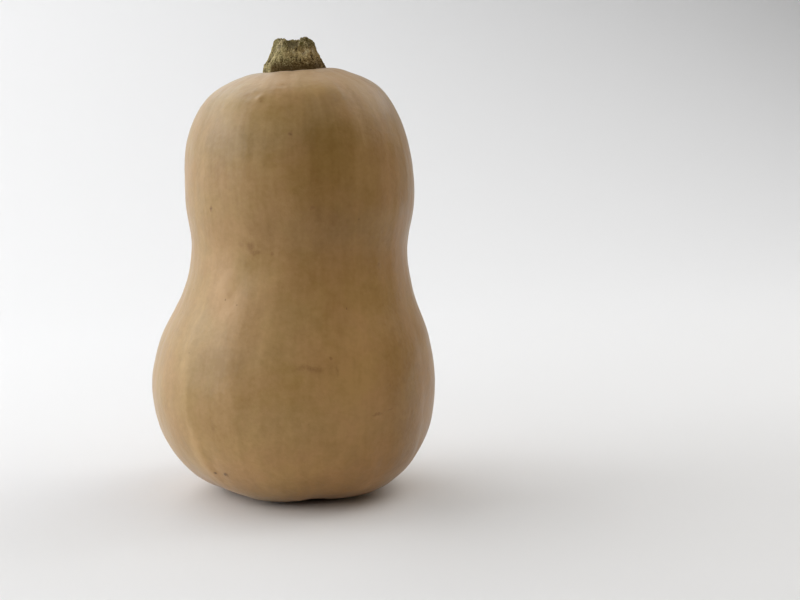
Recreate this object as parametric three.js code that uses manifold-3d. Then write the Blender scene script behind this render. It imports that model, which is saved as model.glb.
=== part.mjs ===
// Butternut squash: one whole ripe fruit, standing on the lobes of its blossom end, and the dried
// stub of the stem that it was picked with.
// Millimetres, +Z up. The front of the fruit faces -Y. The origin is on the ground, under the middle
// of the fruit's bounding box. Azimuths are in degrees from the front, positive towards +X.

import * as THREE from "three";
import { mergeVertices } from "three/addons/utils/BufferGeometryUtils.js";
import Module from "manifold-3d";

const { clamp, degToRad, inverseLerp, lerp, smoothstep } = THREE.MathUtils;

// ---- Driving dimensions: fruit -----------------------------------------------------------------

// The meridian over a lobe's crest, from the sunken blossom end up to the crown: the radius, the
// height, and how far the fruit's centre line has wandered towards +X at that height.
const MERIDIAN = [
  { radius: 0, height: 4.5, drift: 3.2 },
  { radius: 12, height: 3.8, drift: 3.2 },
  { radius: 28, height: -0.7, drift: 3.2 },
  { radius: 51.2, height: 7.3, drift: 2.8 },
  { radius: 66.6, height: 25.9, drift: 1.8 },
  { radius: 72.5, height: 52, drift: 0.3 },
  { radius: 69, height: 78, drift: 1.1 },
  { radius: 59, height: 103, drift: 3.0 },
  { radius: 55, height: 126, drift: 4.0 },
  { radius: 58, height: 152, drift: 4.3 },
  { radius: 55.8, height: 180, drift: 3.1 },
  { radius: 44.9, height: 202.4, drift: 2.0 },
  { radius: 26.9, height: 212.7, drift: 1.3 },
  { radius: 13, height: 214.7, drift: 1.2 },
  { radius: 0, height: 213, drift: 1.2 },
];

// Five lobes at the blossom end, parted by grooves that die out up the side of the bulb.
const LOBE_COUNT = 5;
const LOBE_AZIMUTH = -19;
const LOBE_GROOVE_DEPTH = 1.6;
const LOBE_GROOVE_ROUNDING = 0.3;
const LOBE_START_RADIUS = [4, 24];
const LOBE_END_HEIGHT = [2, 48];

// Ten low ribs round the bulb, two to a lobe.
const RIB_HEIGHT = 0.3;
const RIB_START_HEIGHT = [8, 34];
const RIB_END_HEIGHT = [88, 122];

// The crown slopes: it rises by this much for each millimetre towards +X.
const CROWN_SLOPE = 0.055;
const CROWN_SLOPE_HEIGHT = [170, 210];

// ---- Driving dimensions: stem ------------------------------------------------------------------

// The stub flares from the cut at its top down to the crown. Its radius over a ridge, at even steps
// up from the root, which is hidden in the fruit.
const STEM_ROOT_HEIGHT = 205;
const STEM_RADII_STEP = 4;
const STEM_RADII = [18.8, 18.2, 17.2, 16.1, 13.7, 11.5, 10.3, 9.6];

// It stands a little off the middle of the crown, and leans as it rises.
const STEM_CENTRE = 2;
const STEM_LEAN = -0.5;

// Five ridges run up it and end in toes on the crown, with a groove facing the front. A groove's
// depth is a share of the radius.
const RIDGE_COUNT = 5;
const RIDGE_AZIMUTH = 36;
const GROOVE_SHARE_AT_FOOT = 0.16;
const GROOVE_SHARE_AT_TOP = 0.09;
const STEM_FOOT_HEIGHT = 213;
const STEM_TOP_HEIGHT = 230;

// The top is torn rather than sawn, with a notch at the front. These are the rim's heights every
// 15 degrees from the front round towards +X. The pith inside the rim has sunk.
const RIM_HEIGHTS = [
  225.8, 227.2, 231.8, 231.9, 231.2, 230.5, 230.1, 229.8, 229.4, 229.2, 229.6, 230,
  230.1, 230.1, 230, 229.8, 229.8, 230, 230.2, 230.4, 230.7, 231, 230.9, 227,
];
const RIM_ROUNDING = 1.6;
const PITH_HEIGHT = 225;
const PITH_EDGE_SHARE = 0.7;

// ---- Fits and fineness -------------------------------------------------------------------------

const STEM_GAP = 0.3;
const FRUIT_AZIMUTH_STEPS = 80;
const FRUIT_MERIDIAN_STEPS = 50;
const STEM_AZIMUTH_STEPS = 72;
const STEM_FLANK_STEPS = 11;
const STEM_RIM_STEPS = 3;
const STEM_TOP_STEPS = 6;
const GROUND_BLOCK_SIZE = 200;

// ---- Colours and finishes ----------------------------------------------------------------------

const RIND = { color: 0xd0b088, roughness: 0.5, metalness: 0 };
const CORK = { color: 0x7d7355, roughness: 0.9, metalness: 0 };

// ---- Shape helpers -----------------------------------------------------------------------------

const wasm = await Module();
wasm.setup();

/** A closed mesh from rings of points, lowest ring first, with one point at each end of the stack. */
function stackRings(bottom, rings, top) {
  const steps = rings[0].length;
  const points = [bottom, ...rings.flat(), top];
  const ringStart = (ring) => 1 + ring * steps;
  const last = points.length - 1;
  const triangles = [];
  for (let i = 0; i < steps; i++) {
    const next = (i + 1) % steps;
    triangles.push(0, ringStart(0) + next, ringStart(0) + i);
    for (let ring = 0; ring + 1 < rings.length; ring++) {
      const a = ringStart(ring) + i;
      const b = ringStart(ring) + next;
      const c = ringStart(ring + 1) + next;
      const d = ringStart(ring + 1) + i;
      triangles.push(a, b, c, a, c, d);
    }
    triangles.push(ringStart(rings.length - 1) + i, ringStart(rings.length - 1) + next, last);
  }
  const geometry = new THREE.BufferGeometry().setFromPoints(points);
  geometry.setIndex(triangles);
  return geometry;
}

/** The solid inside a closed geometry. */
function toSolid(geometry) {
  const bare = geometry.clone();
  bare.deleteAttribute("normal");
  bare.deleteAttribute("uv");
  const merged = mergeVertices(bare);
  const mesh = new wasm.Mesh({
    numProp: 3,
    vertProperties: new Float32Array(merged.attributes.position.array),
    triVerts: new Uint32Array(merged.index.array),
  });
  return new wasm.Manifold(mesh);
}

/** The surface of a solid, as a geometry to draw. */
function toGeometry(solid) {
  const mesh = solid.getMesh();
  const geometry = new THREE.BufferGeometry();
  geometry.setAttribute("position", new THREE.BufferAttribute(mesh.vertProperties, 3));
  geometry.setIndex(new THREE.BufferAttribute(mesh.triVerts, 1));
  geometry.computeVertexNormals();
  return geometry;
}

/** A point at an azimuth and a radius round the vertical line x = centre. */
function polarPoint(centre, radius, azimuth, height) {
  return new THREE.Vector3(centre + radius * Math.sin(azimuth), -radius * Math.cos(azimuth), height);
}

/** Azimuths in radians, evenly round the circle. */
function azimuths(steps) {
  return Array.from({ length: steps }, (_, i) => (2 * Math.PI * i) / steps);
}

// ---- Fruit -------------------------------------------------------------------------------------

/** The meridian as a smooth curve, run on by one mirrored station past each end so that it crosses
 *  the axis level. Its x is the radius, y the drift and z the height. */
function meridianCurve() {
  const stations = MERIDIAN.map((s) => new THREE.Vector3(s.radius, s.drift, s.height));
  const mirrored = (station) => station.clone().setX(-station.x);
  const points = [mirrored(stations[1]), ...stations, mirrored(stations.at(-2))];
  return new THREE.CatmullRomCurve3(points, false, "catmullrom", 0.5);
}

/** How deep the grooves between the lobes cut at an azimuth: 0 on a crest, 1 in a groove. */
function lobeGroove(azimuth) {
  const across = Math.cos((LOBE_COUNT / 2) * (azimuth - degToRad(LOBE_AZIMUTH)));
  const crest = Math.hypot(1, LOBE_GROOVE_ROUNDING);
  return (crest - Math.hypot(across, LOBE_GROOVE_ROUNDING)) / (crest - LOBE_GROOVE_ROUNDING);
}

/** How far the skin stands off the meridian at a station and azimuth, outwards. */
function relief(station, azimuth) {
  const lobeFade =
    smoothstep(station.x, ...LOBE_START_RADIUS) * (1 - smoothstep(station.z, ...LOBE_END_HEIGHT));
  const ribFade =
    smoothstep(station.z, ...RIB_START_HEIGHT) * (1 - smoothstep(station.z, ...RIB_END_HEIGHT));
  const rib = Math.cos(2 * LOBE_COUNT * (azimuth - degToRad(LOBE_AZIMUTH)));
  return RIB_HEIGHT * ribFade * rib - LOBE_GROOVE_DEPTH * lobeFade * lobeGroove(azimuth);
}

/** A point of the fruit's skin. */
function skinPoint(station, tangent, azimuth) {
  const slope = new THREE.Vector2(tangent.z, -tangent.x).normalize();
  const offset = relief(station, azimuth);
  const radius = station.x + slope.x * offset;
  const level = station.z + slope.y * offset;
  const lean = CROWN_SLOPE * smoothstep(level, ...CROWN_SLOPE_HEIGHT) * radius * Math.sin(azimuth);
  return polarPoint(station.y, radius, azimuth, level + lean);
}

/** The fruit grown down to below the ground, with no feet yet. */
function fruitBody() {
  const curve = meridianCurve();
  const spans = MERIDIAN.length + 1;
  const at = (share) => (1 + share * (spans - 2)) / spans;
  const rings = [];
  for (let ring = 1; ring < FRUIT_MERIDIAN_STEPS; ring++) {
    const t = at(ring / FRUIT_MERIDIAN_STEPS);
    const station = curve.getPoint(t);
    const tangent = curve.getTangent(t);
    rings.push(azimuths(FRUIT_AZIMUTH_STEPS).map((azimuth) => skinPoint(station, tangent, azimuth)));
  }
  const ends = [MERIDIAN[0], MERIDIAN.at(-1)].map((s) => new THREE.Vector3(s.drift, 0, s.height));
  return toSolid(stackRings(ends[0], rings, ends[1]));
}

/** Everything below the ground, which presses the lobes flat where they stand. */
function ground() {
  const block = new THREE.BoxGeometry(GROUND_BLOCK_SIZE, GROUND_BLOCK_SIZE, GROUND_BLOCK_SIZE);
  return toSolid(block.translate(0, 0, -GROUND_BLOCK_SIZE / 2));
}

// ---- Stem --------------------------------------------------------------------------------------

/** The stub's ridges at an azimuth: 1 on a crest, 0 in a groove. */
function ridgeCrest(azimuth) {
  return 0.5 + 0.5 * Math.cos(RIDGE_COUNT * (azimuth - degToRad(RIDGE_AZIMUTH)));
}

/** The stub's radius over a ridge at a height. */
function ridgeRadius(height) {
  const profile = new THREE.SplineCurve(STEM_RADII.map((radius, i) => new THREE.Vector2(i, radius)));
  const steps = (height - STEM_ROOT_HEIGHT) / STEM_RADII_STEP;
  return profile.getPoint(steps / (STEM_RADII.length - 1)).y;
}

/** The stub's centre and its radius at an azimuth, at a height. */
function stemSection(azimuth, height) {
  const up = clamp(inverseLerp(STEM_FOOT_HEIGHT, STEM_TOP_HEIGHT, height), 0, 1);
  const grooveShare = lerp(GROOVE_SHARE_AT_FOOT, GROOVE_SHARE_AT_TOP, up);
  const radius = ridgeRadius(height) * (1 - grooveShare * (1 - ridgeCrest(azimuth)));
  return { centre: STEM_CENTRE + STEM_LEAN * up * up, radius };
}

/** How high the torn rim stands at an azimuth. */
function rimHeight(azimuth) {
  const place = (azimuth / (2 * Math.PI)) * RIM_HEIGHTS.length;
  const before = Math.floor(place);
  const blend = smoothstep(place - before, 0, 1);
  return lerp(RIM_HEIGHTS[before], RIM_HEIGHTS[(before + 1) % RIM_HEIGHTS.length], blend);
}

/** One ring of the stub's flank, from the root at 0 to the rim at 1. */
function flankRing(share) {
  return azimuths(STEM_AZIMUTH_STEPS).map((azimuth) => {
    const height = lerp(STEM_ROOT_HEIGHT, rimHeight(azimuth) - RIM_ROUNDING, share);
    const { centre, radius } = stemSection(azimuth, height);
    return polarPoint(centre, radius, azimuth, height);
  });
}

/** One ring of the rounded rim, a quarter turn of a small arc from the flank at 0 to the top at 1. */
function rimRing(share) {
  const turn = (share * Math.PI) / 2;
  return azimuths(STEM_AZIMUTH_STEPS).map((azimuth) => {
    const inset = RIM_ROUNDING * (1 - Math.cos(turn));
    const drop = RIM_ROUNDING * (1 - Math.sin(turn));
    const { centre, radius } = stemSection(azimuth, rimHeight(azimuth) - RIM_ROUNDING);
    return polarPoint(centre, radius - inset, azimuth, rimHeight(azimuth) - drop);
  });
}

/** One ring of the torn top, from the rim at 0 to the middle of the sunken pith at 1. */
function topRing(share) {
  return azimuths(STEM_AZIMUTH_STEPS).map((azimuth) => {
    const { centre, radius } = stemSection(azimuth, rimHeight(azimuth) - RIM_ROUNDING);
    const height = lerp(rimHeight(azimuth), PITH_HEIGHT, smoothstep(share, 0, PITH_EDGE_SHARE));
    return polarPoint(centre, (radius - RIM_ROUNDING) * (1 - share), azimuth, height);
  });
}

/** The stub, run on below the crown. */
function stemBody() {
  const rings = [];
  for (let i = 0; i <= STEM_FLANK_STEPS; i++) rings.push(flankRing(i / STEM_FLANK_STEPS));
  for (let i = 1; i <= STEM_RIM_STEPS; i++) rings.push(rimRing(i / STEM_RIM_STEPS));
  for (let i = 1; i < STEM_TOP_STEPS; i++) rings.push(topRing(i / STEM_TOP_STEPS));
  const root = new THREE.Vector3(STEM_CENTRE, 0, STEM_ROOT_HEIGHT);
  const pith = new THREE.Vector3(STEM_CENTRE + STEM_LEAN, 0, PITH_HEIGHT);
  return toSolid(stackRings(root, rings, pith));
}

// ---- Assembly ----------------------------------------------------------------------------------

function namedMesh(name, solid, finish) {
  const mesh = new THREE.Mesh(toGeometry(solid), new THREE.MeshStandardMaterial(finish));
  mesh.name = name;
  return mesh;
}

const whole = fruitBody();
const fruit = whole.subtract(ground());
const stem = stemBody().subtract(whole.translate(0, 0, STEM_GAP));

const squash = new THREE.Group();
squash.name = "butternut_squash";
squash.add(namedMesh("fruit", fruit, RIND));
squash.add(namedMesh("stem", stem, CORK));

export default squash;
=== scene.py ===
"""A ripe butternut squash on a pale studio sweep.

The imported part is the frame: scene.py keeps its size and form and swaps its two faceted nodes for
fine meshes made by the same formulas, with the skin's ribs, dimples and scars and the fibres of the
torn stem. Lengths are in millimetres until a mesh is made, and azimuths are in degrees from the
front of the fruit, positive towards +X.
"""

import itertools
import math

import bpy
import numpy as np
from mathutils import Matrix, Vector


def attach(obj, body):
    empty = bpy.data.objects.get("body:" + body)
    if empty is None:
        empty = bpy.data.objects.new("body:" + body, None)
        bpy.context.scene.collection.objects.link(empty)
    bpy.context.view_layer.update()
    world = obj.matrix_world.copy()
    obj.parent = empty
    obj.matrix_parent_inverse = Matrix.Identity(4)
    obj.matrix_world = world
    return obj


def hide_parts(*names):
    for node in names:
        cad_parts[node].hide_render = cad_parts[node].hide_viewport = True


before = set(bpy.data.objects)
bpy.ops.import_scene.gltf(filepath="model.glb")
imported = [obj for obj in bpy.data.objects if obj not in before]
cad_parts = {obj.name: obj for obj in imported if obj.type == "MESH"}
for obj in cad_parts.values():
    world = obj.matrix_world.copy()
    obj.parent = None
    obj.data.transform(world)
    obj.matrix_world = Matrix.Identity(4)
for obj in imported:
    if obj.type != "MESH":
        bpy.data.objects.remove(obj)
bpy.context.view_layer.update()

MM = 0.001


def add_object(name, data):
    thing = bpy.data.objects.new(name, data)
    bpy.context.scene.collection.objects.link(thing)
    return thing


# ---- Fruit: the part's own dimensions ----------------------------------------------------------

# Radius, height and drift of the centre line towards +X, from the blossom end up to the crown.
MERIDIAN = np.array([
    (0, 4.5, 3.2), (12, 3.8, 3.2), (28, -0.7, 3.2), (51.2, 7.3, 2.8), (66.6, 25.9, 1.8),
    (72.5, 52, 0.3), (69, 78, 1.1), (59, 103, 3.0), (55, 126, 4.0), (58, 152, 4.3),
    (55.8, 180, 3.1), (44.9, 202.4, 2.0), (26.9, 212.7, 1.3), (13, 214.7, 1.2), (0, 213, 1.2),
])
# The lobes of the lower end: their grooves start between two radii and end between two heights.
LOBE_COUNT = 5
LOBE_AZIMUTH = -19
LOBE_GROOVE_DEPTH = 1.6
LOBE_GROOVE_ROUNDING = 0.3
LOBE_START_RADIUS = (4, 24)
LOBE_END_HEIGHT = (2, 48)
# Two soft ribs to a lobe, which start and end between two heights.
RIB_HEIGHT = 0.3
RIB_START_HEIGHT = (8, 34)
RIB_END_HEIGHT = (88, 122)
# The crown rises towards +X by this slope, which sets in between two heights.
CROWN_SLOPE = 0.055
CROWN_SLOPE_HEIGHT = (170, 210)

# ---- Stem: the part's own dimensions -----------------------------------------------------------

# Radii over the stem's ridges, one a step from the root up, where its centre stands on X, and how
# far its top leans from there.
STEM_ROOT_HEIGHT = 205
STEM_RADII_STEP = 4
STEM_RADII = np.array([18.8, 18.2, 17.2, 16.1, 13.7, 11.5, 10.3, 9.6])
STEM_CENTRE = 2
STEM_LEAN = -0.5
RIDGE_COUNT = 5
RIDGE_AZIMUTH = 36
GROOVE_SHARE_AT_FOOT = 0.16
GROOVE_SHARE_AT_TOP = 0.09
STEM_FOOT_HEIGHT = 213
STEM_TOP_HEIGHT = 230
# Heights of the torn rim at even azimuths, from the front towards +X.
RIM_HEIGHTS = np.array([
    225.8, 227.2, 231.8, 231.9, 231.2, 230.5, 230.1, 229.8, 229.4, 229.2, 229.6, 230,
    230.1, 230.1, 230, 229.8, 229.8, 230, 230.2, 230.4, 230.7, 231, 230.9, 227,
])
RIM_ROUNDING = 1.6
PITH_HEIGHT = 225
PITH_EDGE_SHARE = 0.7

# ---- Camera ------------------------------------------------------------------------------------

# Its place in metres, its tilt in degrees, its lens and its sensor in millimetres.
CAMERA_PLACE = (0.0549, -0.9, 0.222)
CAMERA_TILT_DOWN = 7.83
CAMERA_LENS = 80
SENSOR_WIDTH = 36


def make_camera():
    data = bpy.data.cameras.new("camera")
    data.lens = CAMERA_LENS
    data.sensor_width = SENSOR_WIDTH
    camera = add_object("camera", data)
    camera.location = CAMERA_PLACE
    camera.rotation_euler = (math.radians(90 - CAMERA_TILT_DOWN), 0, 0)
    bpy.context.scene.camera = camera


# ---- Numbers -----------------------------------------------------------------------------------

# The noise repeats after this many cells, and its gain brings it to about -1 to 1.
NOISE_CELLS = 256
NOISE_GAIN = 1.5
# Where the random draws of each relief start. A list of reliefs counts on from its own number.
SEEDS = {
    "ribs": 3, "lumps": 11, "pebbles": 17, "scar": 21, "puckers": 31,
    "fibres": 41, "cork_lumps": 51, "grains": 56, "tears": 61, "pith": 71,
}


def azimuths(count):
    """Evenly spread azimuths in radians, from the front of the fruit all the way round."""
    return 2 * math.pi * np.arange(count) / count


def turn_from(azimuth, middle):
    """The turn from the middle to each azimuth, from -pi to pi radians."""
    return (azimuth - middle + math.pi) % (2 * math.pi) - math.pi


def smoothstep(value, start, end):
    share = np.clip((value - start) / (end - start), 0, 1)
    return share * share * (3 - 2 * share)


def spline(stations, place):
    """A uniform Catmull-Rom curve through the rows of stations, at each place counted in rows."""
    before = np.clip(np.floor(place).astype(int), 0, len(stations) - 2)
    share = (place - before).reshape(place.shape + (1,) * (stations.ndim - 1))
    last = len(stations) - 1
    start, end = stations[before], stations[before + 1]
    start_slope = (end - stations[np.maximum(before - 1, 0)]) / 2
    end_slope = (stations[np.minimum(before + 2, last)] - start) / 2
    cubic = 2 * start - 2 * end + start_slope + end_slope
    square = -3 * start + 3 * end - 2 * start_slope - end_slope
    return cubic * share**3 + square * share**2 + start_slope * share + start


def cell_picks(order, cell):
    """The row of a shuffled table that each cell of a grid draws."""
    x, y, z = (cell % NOISE_CELLS).T
    return order[(order[(order[x] + y) % NOISE_CELLS] + z) % NOISE_CELLS]


def noise(points, seed):
    """Smooth noise from about -1 to 1 at each row of points, with one bump or dip to a unit."""
    draws = np.random.default_rng(seed)
    order = draws.permutation(NOISE_CELLS)
    slopes = draws.normal(size=(NOISE_CELLS, 3))
    slopes /= np.linalg.norm(slopes, axis=1, keepdims=True)
    cell = np.floor(points).astype(int)
    inside = points - cell
    ease = inside**3 * (inside * (inside * 6 - 15) + 10)
    total = np.zeros(len(points))
    for corner in itertools.product((0, 1), repeat=3):
        pick = cell_picks(order, cell + corner)
        weight = np.prod(np.where(corner, ease, 1 - ease), axis=1)
        total += weight * np.sum(slopes[pick] * (inside - corner), axis=1)
    return total * NOISE_GAIN


def pebbles(points, seed):
    """Rounded grains at each row of points, 0 in the cracks and 1 on top, with one to a unit."""
    draws = np.random.default_rng(seed)
    order = draws.permutation(NOISE_CELLS)
    spots = draws.random((NOISE_CELLS, 3))
    cell = np.floor(points).astype(int)
    nearest = np.ones(len(points))
    for step in itertools.product((-1, 0, 1), repeat=3):
        gap = cell + step + spots[cell_picks(order, cell + step)] - points
        nearest = np.minimum(nearest, np.sum(gap * gap, axis=1))
    return 1 - nearest


# ---- Meshes ------------------------------------------------------------------------------------


def smooth_mesh(name, vertices, faces):
    mesh = bpy.data.meshes.new(name)
    mesh.from_pydata(vertices.tolist(), [], faces)
    mesh.polygons.foreach_set("use_smooth", np.ones(len(mesh.polygons), bool))
    return mesh


def add_attribute(mesh, name, values):
    """Gives the mesh a number or a vector at each ring point, and its mean at each end."""
    values = np.asarray(values, np.float32)
    wide = values.ndim == 3
    means = np.stack([values[0].mean(0), values[-1].mean(0)])
    flat = np.concatenate([values.reshape(-1, 3) if wide else values.reshape(-1), means])
    layer = mesh.attributes.new(name, "FLOAT_VECTOR" if wide else "FLOAT", "POINT")
    layer.data.foreach_set("vector" if wide else "value", flat.ravel())


def grid_mesh(name, points, attributes):
    """A closed mesh from rings of points (rings, steps, 3) in millimetres, capped at both ends by
    the mean of the end ring. attributes are values at each ring point, by name."""
    rings, steps = points.shape[:2]
    ends = np.stack([points[0].mean(0), points[-1].mean(0)])
    vertices = np.vstack([points.reshape(-1, 3), ends]) * MM
    ring, step = np.meshgrid(np.arange(rings - 1), np.arange(steps), indexing="ij")
    here = (ring * steps + step).ravel()
    beside = (ring * steps + (step + 1) % steps).ravel()
    quads = np.stack([here, beside, beside + steps, here + steps], 1)
    low = np.arange(steps)
    next_low = (low + 1) % steps
    high = (rings - 1) * steps
    bottom = np.stack([np.full(steps, rings * steps), next_low, low], 1)
    top = np.stack([high + low, high + next_low, np.full(steps, rings * steps + 1)], 1)
    mesh = smooth_mesh(name, vertices, quads.tolist() + bottom.tolist() + top.tolist())
    for key, values in attributes.items():
        add_attribute(mesh, key, values)
    mesh.update()
    return add_object(name, mesh)


def carry(piece, node):
    """The piece takes the place of a node of the part."""
    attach(piece, "root")
    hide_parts(node)


# ---- Fruit -------------------------------------------------------------------------------------

FRUIT_RINGS = 258
FRUIT_STEPS = 382
MERIDIAN_SAMPLES = 6000
# The last ring lies under the stem, where nothing shows.
CROWN_END_RADIUS = 11
# Rings near the blossom scar are this many times closer, which eases off between two distances
# from the blossom end.
SCAR_CROWDING = 3
SCAR_CROWDING_FADE = (9, 27)
# Extra rings on the crown's shoulder, where the small bumps are: height, spread and share.
SHOULDER_CROWDING = (204, 7, 0.9)

# Relief of the skin: how many cells it has round the fruit, their length along it, and its depth.
# It fades between two radii, towards either end.
SKIN_RIBS = [(40, 110, 0.22), (96, 60, 0.06)]
SKIN_RIB_RADII = (3, 25)
# Relief without a direction: the size of a cell, and its depth.
SKIN_LUMPS = [(46, 0.5), (13, 0.2), (5.5, 0.07), (2.7, 0.022)]
# A pebbled spot: azimuth, height, width round the fruit, width along it and share. Then the size
# of its pebbles, and their depth.
PEBBLED_SPOT = (-34, 107, 8, 11, 1)
PEBBLES = (2.6, 0.16)
# The skin lies this far inside the part's surface, so that its relief stays within the part's size.
SKIN_INSET = 0.34
# Furrows that run out from the stem: how many cells round it, their length and depth, and the
# radii between which they fade.
PUCKER_CELLS = 20
PUCKER_LENGTH = 60
PUCKER_DEPTH = 0.34
PUCKER_RADII = (18, 44)
# Small bumps and dents: azimuth, height, width round the fruit, width along it, rise. A width is
# from the middle to where the rise has sunk to about a third.
SKIN_BUMPS = [
    (-18.8, 202.4, 1.7, 1.6, 0.66), (-20.5, 203.8, 2.2, 1.0, -0.12), (-28, 203.5, 3.2, 1.6, -0.16),
    (-26, 206, 2.2, 1.4, 0.2), (-6, 208.2, 2.4, 0.8, -0.24), (-8, 206.8, 2.2, 0.8, 0.16),
    (-23, 130.0, 4.0, 1.6, -0.2), (-15, 128.0, 7, 1.0, -0.14), (-36, 110, 5, 8, 0.36),
    (-31, 100, 5, 9, 0.26), (-15, 112, 6, 12, 0.26), (-25.5, 114, 4.5, 12, -0.26),
    (-20, 90, 7, 14, -0.12), (8, 76, 6, 2.4, -0.12),
    (-41, 117, 1.7, 1.5, 0.30), (-34, 115.5, 1.9, 1.5, 0.32), (-37, 111, 1.6, 1.3, 0.28),
    (-34, 108, 1.8, 1.5, 0.32), (-38, 100.5, 1.8, 2.0, 0.26), (-29.5, 106, 1.8, 6, -0.20),
    (-37, 19, 0.9, 0.8, 0.22), (-31, 19.5, 0.8, 0.8, 0.2), (47, 122, 1.6, 1, 0.3),
    (-85, 214, 12, 2.2, -0.6), (72, 214.2, 12, 2.0, 0.5),
]
# Soft patches of a paler or darker tone: azimuth, height, width round it, width along it, tone.
# Some are the skin's own blotches, and many are painted light and shade: painted highlights along
# the crown's top edge, on both shoulders, on the waist's left and along a ridge on the bulb's left,
# painted light on the lower bulb, and painted shade on the neck.
SKIN_PATCHES_AND_PAINTED_LIGHT = [
    (-22, 181, 6, 20, -0.14), (-13, 172, 4, 12, 0.18), (14, 184, 8, 10, -0.20),
    (27, 185, 8, 6, -0.20), (20, 158, 4.5, 26, 0.14), (12, 166, 4, 20, -0.16),
    (4, 168, 4, 14, 0.10), (-36, 189, 8, 7, -0.14), (-24, 174, 5, 8, -0.12),
    (-1, 139, 5, 9, -0.10), (-37, 195, 7, 7, 0.08), (22, 206.5, 22, 4.5, 0.36),
    (-9, 204, 9, 5, 0.18), (2, 185, 20, 7, -0.10), (-34, 177, 7, 8, -0.20),
    (-47, 184, 9, 11, -0.36), (42, 196, 11, 8, 0.34), (-36, 111, 5, 8, 0.38),
    (-31, 103, 5, 7, 0.20), (-14.5, 114, 5, 12, 0.24), (-23.5, 117, 3.8, 9, -0.30),
    (-25, 131, 6, 4, -0.10), (-18, 94, 5, 14, -0.14), (-19, 77.5, 4.5, 6, -0.24),
    (-32, 77, 6, 7, -0.30), (-40, 66, 4, 12, -0.20), (-31, 55, 7, 10, -0.24),
    (-26, 70, 6, 13, -0.18), (-44, 60, 2.8, 18, 0.30), (-42, 36, 3.0, 14, 0.32),
    (-4, 30, 42, 15, 0.24), (-10, 74, 12, 14, -0.12), (-29, 38, 12, 14, -0.20),
    (-42, 25, 2.4, 8, 0.25), (-10, 88, 4, 10, 0.12), (14.5, 75, 8, 5, -0.14),
    (33, 76, 9, 32, 0.40), (22, 84, 6, 10, 0.10), (27, 50, 11, 20, 0.26),
    (59, 60, 12, 44, -0.26), (-22, 180, 36, 6.5, -0.22), (17, 168, 11, 22, -0.24),
    (21, 140, 11, 13, -0.26), (16, 66, 14, 19, 0.32), (56, 205.5, 11, 6, 0.50),
    (-30, 75, 8, 9, -0.18), (-12, 21, 34, 7, 0.20), (-37, 123, 14, 26, 0.16),
    (8, 207.5, 9, 3, -0.10), (6, 211.5, 45, 3.2, 0.42), (-42, 115, 10, 10, 0.16),
    (-31, 106, 6, 7, 0.12),
]
# Low ridges and grooves that run up the skin: their path of azimuths and heights, width and rise.
SKIN_RIDGES = [
    ([(-49, 96), (-45.5, 76), (-43, 64), (-42, 52), (-41, 42), (-41.5, 31), (-41, 22),
      (-37.5, 12)], 3.6, 0.48),
    ([(-36, 92), (-34, 78), (-31.5, 65), (-29.5, 50), (-28, 38)], 6.5, -0.40),
    ([(30, 50), (33, 37), (35.5, 30), (38, 22), (43, 15)], 3.6, 0.52),
    ([(24, 44), (30, 30), (36, 20), (42, 12)], 5.0, -0.35),
    ([(24, 216), (28, 206), (33, 195), (36, 184), (37, 172)], 8.0, 0.50),
]
# How far a ridge reaches past its lowest point while it fades in, and over which height it fades
# out below its highest. It also fades between two radii, towards the blossom end.
RIDGE_LOWER_FADE = (-4, 8)
RIDGE_UPPER_FADE = 16
RIDGE_RADII = (20, 40)
# The corky scar in the middle of the base: its radius, how far its rim and its middle stand, its
# cracks, which start and end between two radii, and the height that it stays below.
SCAR_RADIUS = 5.2
SCAR_RIM = 0.5
SCAR_RIM_WIDTH = 0.8
SCAR_NUB_RADIUS = 1.8
SCAR_NUB = 0.9
SCAR_CRACKS = 18
SCAR_CRACK_LENGTH = 4
SCAR_CRACK_DEPTH = 0.35
SCAR_CRACK_START = (0.5, 2)
SCAR_CRACK_END = (SCAR_RADIUS - 0.6, SCAR_RADIUS + 1.2)
SCAR_TOP_HEIGHT = 27.3


def meridian_rings():
    """Radius, height, drift, outward slope and distance from the blossom end of each ring."""
    mirrored = MERIDIAN * (-1, 1, 1)
    stations = np.vstack([mirrored[1], MERIDIAN, mirrored[-2]])
    fine = spline(stations, np.linspace(1, len(MERIDIAN), MERIDIAN_SAMPLES))
    length = np.concatenate([[0], np.cumsum(np.linalg.norm(np.diff(fine[:, :2], axis=0), axis=1))])
    under_stem = (length > length[-1] / 2) & (fine[:, 0] < CROWN_END_RADIUS)
    crowding = 1 + (SCAR_CROWDING - 1) * (1 - smoothstep(length, *SCAR_CROWDING_FADE))
    middle, spread, extra = SHOULDER_CROWDING
    crowding += extra * np.exp(-(((fine[:, 1] - middle) / spread) ** 2))
    crowding[under_stem] = 0
    order = np.cumsum(crowding * np.gradient(length))
    kept = ~under_stem
    even = order[kept][-1] * (np.arange(FRUIT_RINGS) + 0.5) / FRUIT_RINGS
    along = np.interp(even, order[kept], length[kept])
    radius, height, drift = (np.interp(along, length, column) for column in fine.T)
    rise = np.gradient(fine[:, 1], length)
    spread = np.gradient(fine[:, 0], length)
    out = np.stack([np.interp(along, length, rise), -np.interp(along, length, spread)], 1)
    out /= np.linalg.norm(out, axis=1, keepdims=True)
    return radius, height, drift, out, along


def lobe_groove(azimuth):
    across = np.cos(LOBE_COUNT / 2 * (azimuth - math.radians(LOBE_AZIMUTH)))
    crest = math.hypot(1, LOBE_GROOVE_ROUNDING)
    return (crest - np.hypot(across, LOBE_GROOVE_ROUNDING)) / (crest - LOBE_GROOVE_ROUNDING)


def round_noise(azimuth, cells, along, seed):
    """Noise over rings and steps that closes round the fruit after the given number of cells."""
    reach = cells / (2 * math.pi)
    x, y, z = np.broadcast_arrays(reach * np.sin(azimuth), -reach * np.cos(azimuth), along)
    return noise(np.stack([x, y, z], -1).reshape(-1, 3), seed).reshape(x.shape)


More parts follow.
